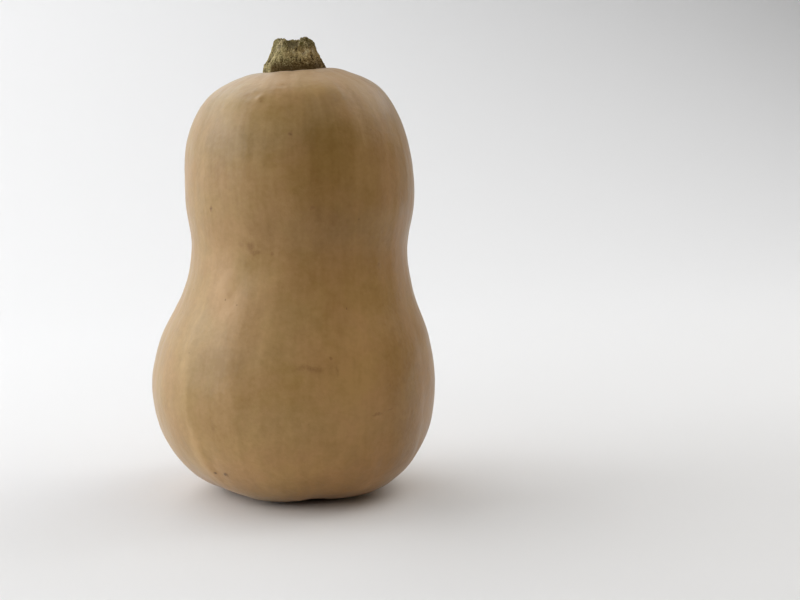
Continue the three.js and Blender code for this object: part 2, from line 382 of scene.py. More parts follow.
def scar_relief(azimuth, radius, height):
    """The blossom scar, which stands down from the middle of the base."""
    rim = np.exp(-(((radius - SCAR_RADIUS) / SCAR_RIM_WIDTH) ** 2))
    nub = np.exp(-((radius / SCAR_NUB_RADIUS) ** 2))
    cracks = round_noise(azimuth, SCAR_CRACKS, radius / SCAR_CRACK_LENGTH, SEEDS["scar"])
    cracks = cracks * smoothstep(radius, *SCAR_CRACK_START)
    inside = 1 - smoothstep(radius, *SCAR_CRACK_END)
    relief = SCAR_RIM * rim + SCAR_NUB * nub + SCAR_CRACK_DEPTH * cracks * inside
    return np.where(height < SCAR_TOP_HEIGHT, relief, 0)


def mounds(spots, azimuth, height, radius):
    """The sum of soft round spots: azimuth, height, width round the fruit, width along it, top."""
    total = 0
    for place, level, round_width, along_width, top in spots:
        across = turn_from(azimuth, math.radians(place)) * radius / round_width
        upward = (height - level) / along_width
        total = total + top * np.exp(-(across**2) - upward**2)
    return total


def ridges(azimuth, height, radius):
    """The low ridges and grooves, as a rise of the skin."""
    rise = 0
    for path, width, top in SKIN_RIDGES:
        turns, levels = np.array(path[::-1]).T
        turn = turn_from(azimuth, np.radians(np.interp(height, levels, turns)))
        start, end = (levels[0] + step for step in RIDGE_LOWER_FADE)
        fade = smoothstep(height, start, end)
        fade = fade * (1 - smoothstep(height, levels[-1] - RIDGE_UPPER_FADE, levels[-1]))
        rise = rise + top * fade * np.exp(-((turn * radius / width) ** 2))
    return rise * smoothstep(radius, *RIDGE_RADII)


def form_offset(azimuth, radius, height):
    """How far the part's own ribs and lobe grooves move its surface outward."""
    lobe_fade = smoothstep(radius, *LOBE_START_RADIUS) * (1 - smoothstep(height, *LOBE_END_HEIGHT))
    rib_fade = smoothstep(height, *RIB_START_HEIGHT) * (1 - smoothstep(height, *RIB_END_HEIGHT))
    rib = np.cos(2 * LOBE_COUNT * (azimuth - math.radians(LOBE_AZIMUTH)))
    return RIB_HEIGHT * rib_fade * rib - LOBE_GROOVE_DEPTH * lobe_fade * lobe_groove(azimuth)


def skin_relief(azimuth, radius, height, along):
    """How far the skin's fine relief stands out from the part's surface."""
    shape = np.broadcast_arrays(radius * np.sin(azimuth), -radius * np.cos(azimuth), height)
    place = np.stack(shape, -1)
    relief = -SKIN_INSET * np.ones(place.shape[:2])
    rib_fade = smoothstep(radius, *SKIN_RIB_RADII)
    for seed, (cells, length, depth) in enumerate(SKIN_RIBS, SEEDS["ribs"]):
        relief += depth * rib_fade * round_noise(azimuth, cells, along / length, seed)
    for seed, (size, depth) in enumerate(SKIN_LUMPS, SEEDS["lumps"]):
        relief += depth * noise(place.reshape(-1, 3) / size, seed).reshape(relief.shape)
    size, depth = PEBBLES
    pebbled = noise(place.reshape(-1, 3) / size, SEEDS["pebbles"]).reshape(relief.shape)
    relief += depth * pebbled * mounds([PEBBLED_SPOT], azimuth, height, radius)
    crown = height > CROWN_SLOPE_HEIGHT[0]
    pucker_fade = np.where(crown, 1 - smoothstep(radius, *PUCKER_RADII), 0)
    puckers = round_noise(azimuth, PUCKER_CELLS, along / PUCKER_LENGTH, SEEDS["puckers"])
    relief += PUCKER_DEPTH * pucker_fade * puckers
    relief += ridges(azimuth, height, radius)
    relief += mounds(SKIN_BUMPS, azimuth, height, radius)
    relief += scar_relief(azimuth, radius, height)
    return relief


def fruit_points():
    """The skin's points, the places in its streaks and the tone of its soft patches, which is
    partly painted light and shade.
    """
    radius, height, drift, out, along = meridian_rings()
    azimuth = azimuths(FRUIT_STEPS)
    radius, height, drift, along = (row[:, None] for row in (radius, height, drift, along))
    offset = form_offset(azimuth, radius, height) + skin_relief(azimuth, radius, height, along)
    reach = radius + out[:, :1] * offset
    level = height + out[:, 1:] * offset
    level = level + CROWN_SLOPE * smoothstep(level, *CROWN_SLOPE_HEIGHT) * reach * np.sin(azimuth)
    x = drift + reach * np.sin(azimuth)
    y = -reach * np.cos(azimuth)
    points = np.stack([x, y, np.maximum(level, 0)], -1)
    grain = np.stack(np.broadcast_arrays(np.sin(azimuth), -np.cos(azimuth), along), -1)
    # The tone of the soft patches, partly the skin's own and partly painted light and shade.
    tone_and_painted_light = mounds(SKIN_PATCHES_AND_PAINTED_LIGHT, azimuth, height, radius)
    return points, grain, tone_and_painted_light


def make_fruit():
    points, grain, tone_and_painted_light = fruit_points()
    fruit = grid_mesh("fruit_skin", points, {"grain": grain, "tone_and_painted_light": tone_and_painted_light})
    fruit.data.materials.append(rind_material())
    carry(fruit, "fruit")


# ---- Stem --------------------------------------------------------------------------------------

STEM_STEPS = 360
STEM_FLANK_RINGS = 100
STEM_RIM_RINGS = 8
STEM_TOP_RINGS = 34
# Fibres along the stem: how many cells round it, their length, and how far they stand out.
STEM_FIBRES = [(44, 12, 0.42), (112, 7, 0.26)]
# The fibres grow from a share of their relief at the foot to all of it, between two heights.
FIBRE_SHARE_AT_FOOT = 0.3
FIBRE_GROWTH = (217, 226)
# How far inside the rim, as a share of the way to the middle, the flank's fibres end.
FLANK_EDGE = 0.1
# Lumps of the cork, and its grains: the size of one, and how far it stands out.
STEM_LUMPS = [(7.5, 0.42), (2.6, 0.26)]
STEM_GRAINS = [(1.6, 0.5), (0.8, 0.42)]
GRAIN_MEAN = 0.7
STEM_INSET = 0.15
# The torn rim: how many cells round it, and how deep the tears go. All are read from one row of
# the noise, and on average they take away this share of their depth.
RIM_TEARS = [(26, 0.4), (70, 0.35)]
RIM_TEAR_ROW = 0.5
RIM_TEAR_MEAN = 0.4
# Cracks in the torn top: how many cells round it and on the way in, their depth, and the share of
# the way in over which they begin.
PITH_CRACKS = 20
PITH_CRACK_ROWS = 3
PITH_CRACK_DEPTH = 1.2
PITH_CRACK_START = 0.2
# Keeps the length of a normal from being zero.
TINY = 1e-9


def stem_section(azimuth, height):
    up = np.clip((height - STEM_FOOT_HEIGHT) / (STEM_TOP_HEIGHT - STEM_FOOT_HEIGHT), 0, 1)
    groove_share = GROOVE_SHARE_AT_FOOT + (GROOVE_SHARE_AT_TOP - GROOVE_SHARE_AT_FOOT) * up
    crest = 0.5 + 0.5 * np.cos(RIDGE_COUNT * (azimuth - math.radians(RIDGE_AZIMUTH)))
    steps = (height - STEM_ROOT_HEIGHT) / STEM_RADII_STEP
    over_ridge = spline(STEM_RADII, steps)
    return STEM_CENTRE + STEM_LEAN * up * up, over_ridge * (1 - groove_share * (1 - crest))


def rim_height(azimuth):
    place = azimuth / (2 * math.pi) * len(RIM_HEIGHTS)
    before = np.floor(place).astype(int)
    blend = smoothstep(place - before, 0, 1)
    low, high = RIM_HEIGHTS[before], RIM_HEIGHTS[(before + 1) % len(RIM_HEIGHTS)]
    return low + (high - low) * blend


def stem_rings():
    """Reach, level and centre of each ring of the smooth stem, and the share of the way inward."""
    azimuth = azimuths(STEM_STEPS)
    rim = rim_height(azimuth)
    for seed, (cells, depth) in enumerate(RIM_TEARS, SEEDS["tears"]):
        tear = round_noise(azimuth, cells, RIM_TEAR_ROW, seed)
        rim = rim - depth * (RIM_TEAR_MEAN + (1 - RIM_TEAR_MEAN) * tear)
    share = np.linspace(0, 1, STEM_FLANK_RINGS)[:, None]
    height = STEM_ROOT_HEIGHT + (rim - RIM_ROUNDING - STEM_ROOT_HEIGHT) * share
    centre, radius = stem_section(azimuth, height)
    turn = np.linspace(0, math.pi / 2, STEM_RIM_RINGS + 1)[1:, None]
    rim_radius = radius[-1] - RIM_ROUNDING * (1 - np.cos(turn))
    rim_level = rim - RIM_ROUNDING * (1 - np.sin(turn))
    inward = np.linspace(0, 1, STEM_TOP_RINGS + 1)[1:-1, None]
    top_radius = (radius[-1] - RIM_ROUNDING) * (1 - inward)
    top_level = rim + (PITH_HEIGHT - rim) * smoothstep(inward, 0, PITH_EDGE_SHARE)
    cracks = round_noise(azimuth, PITH_CRACKS, PITH_CRACK_ROWS * inward, SEEDS["pith"])
    cracks = PITH_CRACK_DEPTH * cracks * smoothstep(inward, 0, PITH_CRACK_START) * (1 - inward)
    top_level = top_level + cracks
    reach = np.vstack([radius, rim_radius, top_radius])
    level = np.vstack([height, rim_level, top_level])
    rows = len(rim_radius) + len(top_radius)
    middle = np.vstack([centre, np.repeat(centre[-1:], rows, axis=0)])
    torn = np.broadcast_to(inward, top_level.shape)
    inside = np.vstack([np.zeros_like(height), np.zeros_like(rim_level), torn])
    return azimuth, reach, level, middle, inside


def stem_points():
    """The stem's points, how far each stands out of the cork, and its share of the way inward."""
    azimuth, reach, level, middle, inside = stem_rings()
    place = np.stack([middle + reach * np.sin(azimuth), -reach * np.cos(azimuth), level], -1)
    flank = 1 - smoothstep(inside, 0, FLANK_EDGE)
    growth = smoothstep(level, *FIBRE_GROWTH)
    fibrous = flank * (FIBRE_SHARE_AT_FOOT + (1 - FIBRE_SHARE_AT_FOOT) * growth)
    rough = np.zeros(level.shape)
    for seed, (cells, length, depth) in enumerate(STEM_FIBRES, SEEDS["fibres"]):
        rough += depth * fibrous * round_noise(azimuth, cells, level / length, seed)
    for seed, (size, depth) in enumerate(STEM_LUMPS, SEEDS["cork_lumps"]):
        rough += depth * noise(place.reshape(-1, 3) / size, seed).reshape(level.shape)
    for seed, (size, depth) in enumerate(STEM_GRAINS, SEEDS["grains"]):
        grain = pebbles(place.reshape(-1, 3) / size, seed).reshape(level.shape)
        rough += depth * (grain - GRAIN_MEAN)
    across = np.roll(place, -1, 1) - np.roll(place, 1, 1)
    upward = np.gradient(place, axis=0)
    out = np.cross(across, upward)
    out /= np.linalg.norm(out, axis=2, keepdims=True) + TINY
    place = place + out * (rough - STEM_INSET)[..., None]
    place[..., 2] = np.minimum(place[..., 2], RIM_HEIGHTS.max())
    return place, rough, inside


def make_stem():
    points, rough, inside = stem_points()
    stem = grid_mesh("stem_stub", points, {"rough": rough, "inside": inside})
    stem.data.materials.append(stem_material())
    carry(stem, "stem")


# ---- Materials ---------------------------------------------------------------------------------

NO_TINT = (1, 1, 1)
# The mean of Blender's noise, which runs from 0 to 1.
NOISE_MEAN = 0.5


class Shading:
    """A material's node tree, with short calls that add nodes to it."""

    def __init__(self, name):
        self.material = bpy.data.materials.new(name)
        self.material.use_nodes = True
        self.tree = self.material.node_tree
        self.shader = self.tree.nodes["Principled BSDF"]

    def put(self, socket, value):
        if isinstance(value, bpy.types.NodeSocket):
            self.tree.links.new(value, socket)
        else:
            socket.default_value = value

    def add(self, kind, inputs, output=0, **settings):
        node = self.tree.nodes.new("ShaderNode" + kind)
        for key, value in settings.items():
            setattr(node, key, value)
        for key, value in inputs.items():
            self.put(node.inputs[key], value)
        return node.outputs[output]

    def finish(self, **sockets):
        for key, value in sockets.items():
            self.put(self.shader.inputs[key.replace("_", " ")], value)
        return self.material

    def place(self):
        return self.add("TexCoord", {}, "Object")

    def value(self, name):
        return self.add("Attribute", {}, "Fac", attribute_name=name)

    def vector(self, name):
        return self.add("Attribute", {}, "Vector", attribute_name=name)

    def sum(self, first, second):
        return self.add("Math", {0: first, 1: second}, operation="ADD")

    def times(self, first, second):
        return self.add("Math", {0: first, 1: second}, operation="MULTIPLY")

    def scaled(self, vector, scale):
        return self.add("VectorMath", {0: vector, 1: scale}, operation="MULTIPLY")

    def moved(self, vector, step):
        return self.add("VectorMath", {0: vector, 1: step}, operation="ADD")

    def distance(self, vector, point):
        return self.add("VectorMath", {0: vector, 1: point}, "Value", operation="DISTANCE")

    def along(self, vector, direction):
        inputs = {0: vector, 1: direction}
        return self.add("VectorMath", inputs, "Value", operation="DOT_PRODUCT")

    def part(self, vector, axis):
        return self.add("SeparateXYZ", {0: vector}, axis)

    def noise(self, vector, scale, detail=1.0, roughness=0.5, output="Fac"):
        inputs = {"Vector": vector, "Scale": scale, "Detail": detail, "Roughness": roughness}
        return self.add("TexNoise", inputs, output)

    def swing(self, noise, strength):
        """Noise as a number on either side of 0."""
        return self.times(self.sum(noise, -NOISE_MEAN), strength)

    def sway(self, vector, scale, detail, reach):
        """Noise as a step that moves a vector either way along each axis."""
        colour = self.noise(vector, scale, detail, output="Color")
        return self.scaled(self.moved(colour, (-NOISE_MEAN,) * 3), reach)

    def ease(self, value, start, end, low=0.0, high=1.0):
        """Maps start..end of the value to low..high, smoothly and clamped."""
        inputs = {"Value": value, "From Min": start, "From Max": end, "To Min": low, "To Max": high}
        return self.add("MapRange", inputs, interpolation_type="SMOOTHSTEP")

    def mix(self, share, low, high, blend="MIX"):
        """Mixes two colours, which are the sockets 6 and 7 of the node."""
        inputs = {0: share}
        for socket, colour in ((6, low), (7, high)):
            linked = isinstance(colour, bpy.types.NodeSocket)
            inputs[socket] = colour if linked else (*colour, 1.0)
        return self.add("Mix", inputs, 2, data_type="RGBA", blend_type=blend)

    def tinted(self, colour, tint):
        return self.mix(1.0, colour, tint, "MULTIPLY")

    def bump(self, height, distance, normal=None):
        inputs = {"Height": height, "Distance": distance, "Strength": 1.0}
        if normal is not None:
            inputs["Normal"] = normal
        return self.add("Bump", inputs)


# The skin's colour runs from dark, at a tone of 0, to pale, at 1. Its tone varies round a middle.
RIND_DARK = (0.284, 0.158, 0.042)
RIND_PALE = (0.456, 0.272, 0.112)
RIND_TONE = 0.5
# Broad blotches turn the skin pinkish or greenish: where their noise starts, its cells in a metre,
# detail and roughness, and the range of it that they take.
RIND_PINK_TINT = (1.0, 0.975, 0.965)
RIND_GREEN_TINT = (0.980, 0.998, 0.915)
BLOTCH_START = (0.3, 0.7, 0.2)
BLOTCH_NOISE = (42.0, 3.0, 0.6)
BLOTCH_RANGE = (0.36, 0.64)
# Painted light across the skin: it is paler and yellower on the left, as a painted sheen where the
# light falls, and darker and deeper orange on the right, as painted shade with a painted warm
# reflected light.
RIND_LEFT_PAINTED_SHEEN = (1.035, 1.105, 1.205)
RIND_RIGHT_PAINTED_SHADE = (0.930, 0.872, 0.715)
PAINTED_LIGHT_SIDES = (-0.045, 0.045)
# The neck is darker than the bulb as painted shade, the crown yellower, and the lower end more
# orange. Each change runs from one height to another, in metres.
NECK_PAINTED_SHADE = (0.90, 0.89, 0.88)
NECK_PAINTED_SHADE_HEIGHTS = (0.150, 0.085)
RIND_CROWN_TINT = (1.000, 1.045, 1.055)
CROWN_TINT_HEIGHT = (0.165, 0.200)
RIND_BASE_TINT = (1.0, 0.930, 0.800)
BASE_TINT_HEIGHT = (0.06, 0.006)

# Streaks from end to end: cells in a radian round the fruit and in a millimetre along it, and how
# strongly they change the tone.
SKIN_STREAKS = [(4.2, 0.012, 0.36), (11, 0.020, 0.40), (25, 0.045, 0.30)]
# The streaks waver round the fruit: where the noise starts, its cells in a metre and detail, and
# how far it moves them, in radians.
WAVER_START = (0.5, 0.5, 0.5)
WAVER_NOISE = (22.0, 1.0)
WAVER_REACH = (0.09, 0.09, 0.0)
# Mottling: cells in a metre, how much flatter than wide they are, and how strongly it changes the
# tone.
SKIN_MOTTLE = [(75, 1.0, 0.44), (210, 1.1, 0.50), (450, 1.1, 0.38), (1150, 0.8, 0.18)]

# Colour marks on the skin, and painted shade on the lower right of the wart on the crown: azimuth,
# height, width sideways, width upright, strength. A mark fades between these shares of its widths.
MARK_FADE = (1.7, 0.3)
SKIN_MARKS_AND_PAINTED_SHADE = [
    (0, 185.5, 1.1, 1.1, 0.75), (-45.5, 148.5, 1.0, 1.1, 0.8), (9, 150, 1.5, 1.1, 0.6),
    (14, 133, 1.0, 0.9, 0.5), (-28, 131.5, 1.8, 1.4, 0.36), (-22.4, 131.0, 2.0, 2.0, 0.56),
    (-19.7, 127.9, 3.0, 1.2, 0.56), (-11, 127.8, 1.4, 1.2, 0.56),
    (7.0, 75.0, 4.6, 1.3, 0.48), (12.0, 74.0, 3.4, 1.6, 0.36), (9.8, 69.0, 2.8, 4.4, 0.26),
    (14.7, 75, 4.5, 3.6, 0.16), (19, 72.5, 3.0, 5.4, 0.24), (20.3, 74, 0.9, 2.8, 0.30),
    (17.8, 79.4, 0.8, 0.8, 0.60), (28, 76, 1.6, 2.6, 0.30),
    (44, 64, 0.9, 0.9, 0.6), (37.5, 50.1, 3.4, 1.0, 0.60), (44, 52, 2.0, 0.7, 0.5),
    (-30, 44, 1.2, 3.4, 0.45), (-37.2, 19.1, 1.2, 1.0, 1.0), (-31, 19.6, 1.7, 1.1, 1.0),
    # The mark at azimuth -17.0 is partly the wart's own dark edge and partly painted shade on its
    # lower right.
    (-73, 150.5, 0.8, 1.4, 0.5), (-17.0, 200.6, 1.2, 0.9, 0.42), (-29, 204, 4.0, 1.4, 0.3),
    (-5, 208.3, 2.2, 0.5, 0.3), (47.5, 121, 1.2, 0.8, 0.5),
]
# The smudges' colour, which also paints the shade beside the wart.
RIND_SMUDGE_AND_PAINTED_SHADE = (0.210, 0.098, 0.028)
# The strength of a mark from which its colour goes on to a speck's.
MARK_DARK = 0.55
# Fine noise makes the marks' edges ragged, and coarser noise bends them up and down: cells in a
# metre and detail, and how far it moves them, in metres.
RAGGED_NOISE = (800.0, 2.0)
RAGGED_REACH = (0.0010, 0.0010, 0.0010)
BEND_START = (0.2, 0.4, 0.1)
BEND_NOISE = (260.0, 1.0)
BEND_REACH = (0.0, 0.0, 0.003)
# Flecks break the marks up: their noise, the range of it that they take, and the share of a mark
# that is left in its gaps.
FLECK_NOISE = (900.0, 3.0, 0.7)
FLECK_RANGE = (0.36, 0.6)
FLECK_SHARE = 0.72
# Small dark specks: cells in a metre, where in a cell its speck fades, which cells have one, and
# how strong it is.
RIND_SPECK = (0.115, 0.055, 0.016)
SPECK_CELLS = 170.0
SPECK_FADE = (0.11, 0.04)
SPECK_PICK = (0.90, 0.97)
SPECK_STRENGTH = 0.6
# The scar's colour fades between two distances from its middle, and between two heights.
SCAR_COLOUR = (0.110, 0.070, 0.035)
SCAR_COLOUR_EDGE = (0.0068, 0.0045)
SCAR_COLOUR_HEIGHT = (0.02, 0.012)
# The bloom makes the gloss uneven: the range of blotches and tone, and the roughness over it.
BLOOM_RANGE = (0.75, 1.25)
RIND_ROUGHNESS = (0.36, 0.46)
RIND_SPECULAR = 0.37
RIND_SHEEN = 0.18
RIND_SHEEN_ROUGHNESS = 0.5
# Pores: their noise, and how deep they are in metres.
PORES = [((420.0, 1.0), 0.00012), ((1300.0, 2.0, 0.6), 0.00004)]


def skin_point(rings, azimuth, height):
    """A point in metres on the smooth fruit, given its rings, above the ring it stands on."""
    radius, level, drift, _, _ = rings
    base = level.argmin()
    radius, drift = (np.interp(height, level[base:], row[base:]) for row in (radius, drift))
    turn = math.radians(azimuth)
    level = height + CROWN_SLOPE * smoothstep(height, *CROWN_SLOPE_HEIGHT) * radius * math.sin(turn)
    return np.array([drift + radius * math.sin(turn), -radius * math.cos(turn), level]) * MM


def skin_marks_and_painted_shade(rind, place):
    """How strongly the skin's marks, and the painted shade beside the wart, darken it, as one
    socket.
    """
    rings = meridian_rings()
    total = 0.0
    for azimuth, height, wide, tall, strength in SKIN_MARKS_AND_PAINTED_SHADE:
        stretch = np.array([1 / wide, 1 / wide, 1 / tall]) / MM
        middle = skin_point(rings, azimuth, height) * stretch
        spot = rind.distance(rind.scaled(place, stretch), middle)
        total = rind.sum(total, rind.ease(spot, *MARK_FADE, 0.0, strength))
    return total


def rind_tone(rind, place):
    """The tone of the skin, which wanders in streaks from end to end and in finer mottling, with
    the soft patches added, which are partly painted light and shade.
    """
    waver = rind.sway(rind.moved(place, WAVER_START), *WAVER_NOISE, WAVER_REACH)
    grain = rind.moved(rind.vector("grain"), waver)
    tone = RIND_TONE
    for round_cells, along_cells, strength in SKIN_STREAKS:
        streak = rind.noise(rind.scaled(grain, (round_cells, round_cells, along_cells)), 1.0)
        tone = rind.sum(tone, rind.swing(streak, strength))
    for cells, flatness, strength in SKIN_MOTTLE:
        mottle = rind.noise(rind.scaled(place, (1.0, 1.0, flatness)), cells)
        tone = rind.sum(tone, rind.swing(mottle, strength))
    # Adds the soft patches: painted highlights and painted shade among the skin's own blotches.
    return rind.sum(tone, rind.value("tone_and_painted_light"))


def rind_tints(rind, place, blotches, colour):
    """The skin's colour with the tints of its blotches, its sides and its heights. The side tints
    are painted sheen and painted shade, and the neck's darker tint is painted shade.
    """
    side = rind.part(place, "X")
    level = rind.part(place, "Z")
    tints = [
        (blotches, BLOTCH_RANGE, RIND_GREEN_TINT, RIND_PINK_TINT),
        # Painted sheen on the left, and painted shade with warm reflected light on the right.
        (side, PAINTED_LIGHT_SIDES, RIND_LEFT_PAINTED_SHEEN, RIND_RIGHT_PAINTED_SHADE),
        # Painted shade on the neck.
        (level, NECK_PAINTED_SHADE_HEIGHTS, NECK_PAINTED_SHADE, NO_TINT),
        (level, CROWN_TINT_HEIGHT, NO_TINT, RIND_CROWN_TINT),
        (level, BASE_TINT_HEIGHT, NO_TINT, RIND_BASE_TINT),
    ]
    for value, ends, low, high in tints:
        colour = rind.tinted(colour, rind.mix(rind.ease(value, *ends), low, high))
    return colour


def rind_marks(rind, place, colour):
    """The skin's colour with its ragged marks, one of them painted shade beside the wart, and small
    dark specks scattered over it.
    """
    ragged = rind.moved(place, rind.sway(place, *RAGGED_NOISE, RAGGED_REACH))
    bend = rind.sway(rind.moved(place, BEND_START), *BEND_NOISE, BEND_REACH)
    flecks = rind.ease(rind.noise(place, *FLECK_NOISE), *FLECK_RANGE, FLECK_SHARE, 1.0)
    marks = rind.times(skin_marks_and_painted_shade(rind, rind.moved(ragged, bend)), flecks)
    colour = rind.mix(rind.ease(marks, 0.0, 1.0), colour, RIND_SMUDGE_AND_PAINTED_SHADE)
    colour = rind.mix(rind.ease(marks, MARK_DARK, 1.0), colour, RIND_SPECK)
    cells = {"Vector": ragged, "Scale": SPECK_CELLS}
    near = rind.add("TexVoronoi", cells, "Distance")
    pick = rind.add("SeparateColor", {0: rind.add("TexVoronoi", cells, "Color")}, "Red")
    pick = rind.ease(pick, *SPECK_PICK, 0.0, SPECK_STRENGTH)
    return rind.mix(rind.times(rind.ease(near, *SPECK_FADE), pick), colour, RIND_SPECK)


def rind_scar(rind, place, colour):
    """The skin's colour with the corky scar under the base."""
    out = rind.distance(rind.scaled(place, (1, 1, 0)), (MERIDIAN[0][2] * MM, 0, 0))
    low = rind.ease(rind.part(place, "Z"), *SCAR_COLOUR_HEIGHT)
    return rind.mix(rind.times(rind.ease(out, *SCAR_COLOUR_EDGE), low), colour, SCAR_COLOUR)


def rind_material():
    rind = Shading("rind")
    place = rind.place()
    tone = rind_tone(rind, place)
    blotches = rind.noise(rind.moved(place, BLOTCH_START), *BLOTCH_NOISE)
    colour = rind_tints(rind, place, blotches, rind.mix(tone, RIND_DARK, RIND_PALE))
    colour = rind_scar(rind, place, rind_marks(rind, place, colour))
    roughness = rind.ease(rind.sum(blotches, tone), *BLOOM_RANGE, *RIND_ROUGHNESS)
    normal = None
    for pores, depth in PORES:
        normal = rind.bump(rind.noise(place, *pores), depth, normal)
    rind.shader.inputs["Specular IOR Level"].default_value = RIND_SPECULAR
    rind.shader.inputs["Sheen Weight"].default_value = RIND_SHEEN
    rind.shader.inputs["Sheen Roughness"].default_value = RIND_SHEEN_ROUGHNESS
    return rind.finish(Base_Color=colour, Roughness=roughness, Normal=normal)


CORK_DARK = (0.040, 0.025, 0.007)
CORK_OLIVE = (0.350, 0.298, 0.138)
CORK_BROWN = (0.320, 0.218, 0.088)
CORK_GREEN = (0.075, 0.070, 0.016)
CORK_PALE = (0.640, 0.525, 0.285)
CORK_BLOOM = (0.390, 0.325, 0.215)
# The colour of the painted shade at the stem's foot.
CORK_FOOT_PAINTED_SHADE = (0.056, 0.029, 0.004)
PITH_COLOUR = (0.150, 0.115, 0.060)
# Where the cork's colour changes, in metres: its left and right, its torn top, and the painted
# shade at its foot.
CORK_SIDES = (-0.014, 0.016)
CORK_TOP = (0.2235, 0.2275)
FOOT_PAINTED_SHADE = (0.2212, 0.2165)
# The middle of the painted shade at the stem's foot, a dark band, and how far from it the band
# fades and is full.
FOOT_PAINTED_SHADE_MIDDLE = 0.0030
FOOT_PAINTED_SHADE_SIDES = (0.0135, 0.0115)
FOOT_PAINTED_SHADE_STRENGTH = 0.88
FOOT_PAINTED_SHADE_RAGGEDNESS = 0.009
# The torn knob on the right of the top is the greenest. The green falls to a share on its left.
GREEN_SIDES = (0.0035, 0.0075)
GREEN_SHARE_LEFT = 0.6
GREEN_STRENGTH = 0.75
# Noises of the cork: cells in a metre, detail and roughness.
CORK_PATCH_NOISE = (170.0, 2.0, 0.6)
CORK_GRIT_NOISE = (1300.0, 3.0, 0.75)
CORK_FIBRE_NOISE = (1000.0, 2.0, 0.6)
CORK_FIBRE_STRETCH = (1.0, 1.0, 0.14)
CORK_TINT_NOISE = (240.0, 1.0)
CORK_TINT_START = (0.4, 0.1, 0.6)
# How far the change from left to right wanders, in metres.
CORK_WANDER = 0.03
# What makes a spot stand out or lie in a crack: the share of the relief, the grit and the patches.
# It is darkest below one range of the sum, and palest above the other.
CORK_RELIEF = 0.8
CORK_GRIT = 3.0
CORK_PATCHES = 1.4
CORK_CRACK_RANGE = (-0.55, 0.05)
CORK_CREST_RANGE = (0.12, 0.9)
# The range of a noise, or of the way in over the torn top, and the strength of the colour there.
CORK_BLOOM_RANGE = (0.56, 0.68)
CORK_BLOOM_STRENGTH = 0.6
CORK_FIBRE_RANGE = (0.5, 0.3)
CORK_FIBRE_STRENGTH = 0.5
PITH_RANGE = (0.02, 0.3)
PITH_STRENGTH = 0.55
# The middle of the torn top's hollow is darkened as painted shade.
PITH_HOLLOW_PAINTED_SHADE_RANGE = (0.45, 0.9)
PITH_HOLLOW_PAINTED_SHADE_STRENGTH = 0.8
CORK_BUMP = 0.0004
CORK_BUMP_FIBRES = 0.7
CORK_SPECULAR = 0.15
CORK_ROUGHNESS = 0.88


def stem_material():
    cork = Shading("stem_cork")
    place = cork.place()
    inside = cork.value("inside")
    side = cork.part(place, "X")
    level = cork.along(place, (-CROWN_SLOPE, 0, 1))
    patches = cork.noise(place, *CORK_PATCH_NOISE)
    grit = cork.noise(place, *CORK_GRIT_NOISE)
    fibre = cork.noise(cork.scaled(place, CORK_FIBRE_STRETCH), *CORK_FIBRE_NOISE)
    tint = cork.noise(cork.moved(place, CORK_TINT_START), *CORK_TINT_NOISE)

    # From left to right, with a dusty bloom and a greener top.
    wandering = cork.sum(side, cork.swing(tint, CORK_WANDER))
    colour = cork.mix(cork.ease(wandering, *CORK_SIDES), CORK_OLIVE, CORK_BROWN)
    bloom = cork.ease(patches, *CORK_BLOOM_RANGE, 0.0, CORK_BLOOM_STRENGTH)
    colour = cork.mix(bloom, colour, CORK_BLOOM)
    green = cork.times(cork.ease(level, *CORK_TOP, 0.0, GREEN_STRENGTH),
                       cork.ease(wandering, *GREEN_SIDES, GREEN_SHARE_LEFT, 1.0))
    colour = cork.mix(green, colour, CORK_GREEN)

    # Dark cracks, pale crests and dark lines between the fibres.
    raised = cork.sum(cork.times(cork.value("rough"), CORK_RELIEF), cork.swing(grit, CORK_GRIT))
    raised = cork.sum(raised, cork.swing(patches, CORK_PATCHES))
    colour = cork.mix(cork.ease(raised, *CORK_CRACK_RANGE), CORK_DARK, colour)
    colour = cork.mix(cork.ease(raised, *CORK_CREST_RANGE), colour, CORK_PALE)
    lines = cork.ease(fibre, *CORK_FIBRE_RANGE, 0.0, CORK_FIBRE_STRENGTH)
    colour = cork.mix(lines, colour, CORK_DARK)

    # Painted shade as a dark band at the foot, the pith inside the torn top, and painted shade in
    # the middle of its hollow.
    ragged = cork.sum(level, cork.swing(grit, FOOT_PAINTED_SHADE_RAGGEDNESS))
    out = cork.add("Math", {0: cork.sum(side, -FOOT_PAINTED_SHADE_MIDDLE)}, operation="ABSOLUTE")
    foot_shade_mask = cork.times(cork.ease(ragged, *FOOT_PAINTED_SHADE, 0.0, FOOT_PAINTED_SHADE_STRENGTH),
                      cork.ease(out, *FOOT_PAINTED_SHADE_SIDES))
    colour = cork.mix(foot_shade_mask, colour, CORK_FOOT_PAINTED_SHADE)
    colour = cork.mix(cork.ease(inside, *PITH_RANGE, 0.0, PITH_STRENGTH), colour, PITH_COLOUR)
    hollow_shade_mask = cork.ease(inside, *PITH_HOLLOW_PAINTED_SHADE_RANGE, 0.0, PITH_HOLLOW_PAINTED_SHADE_STRENGTH)
    colour = cork.mix(hollow_shade_mask, colour, CORK_DARK)

    normal = cork.bump(cork.sum(grit, cork.times(fibre, CORK_BUMP_FIBRES)), CORK_BUMP)
    cork.shader.inputs["Specular IOR Level"].default_value = CORK_SPECULAR
    return cork.finish(Base_Color=colour, Roughness=CORK_ROUGHNESS, Normal=normal)


# ---- Stage -------------------------------------------------------------------------------------

# A round cove, wide and greyer in front and to the right, so that most light comes from the left
# and from behind.
PAPER_PALE = (0.780, 0.788, 0.803)
PAPER_GREY = (0.16, 0.16, 0.165)
PAPER_ROUGHNESS = 0.8
# Towards the front and right: how far off the paper is still pale, and where it is fully grey.
PAPER_FADE_DIRECTION = (0.45, -0.89, 0)
PAPER_FADE = (0.60, 1.5)
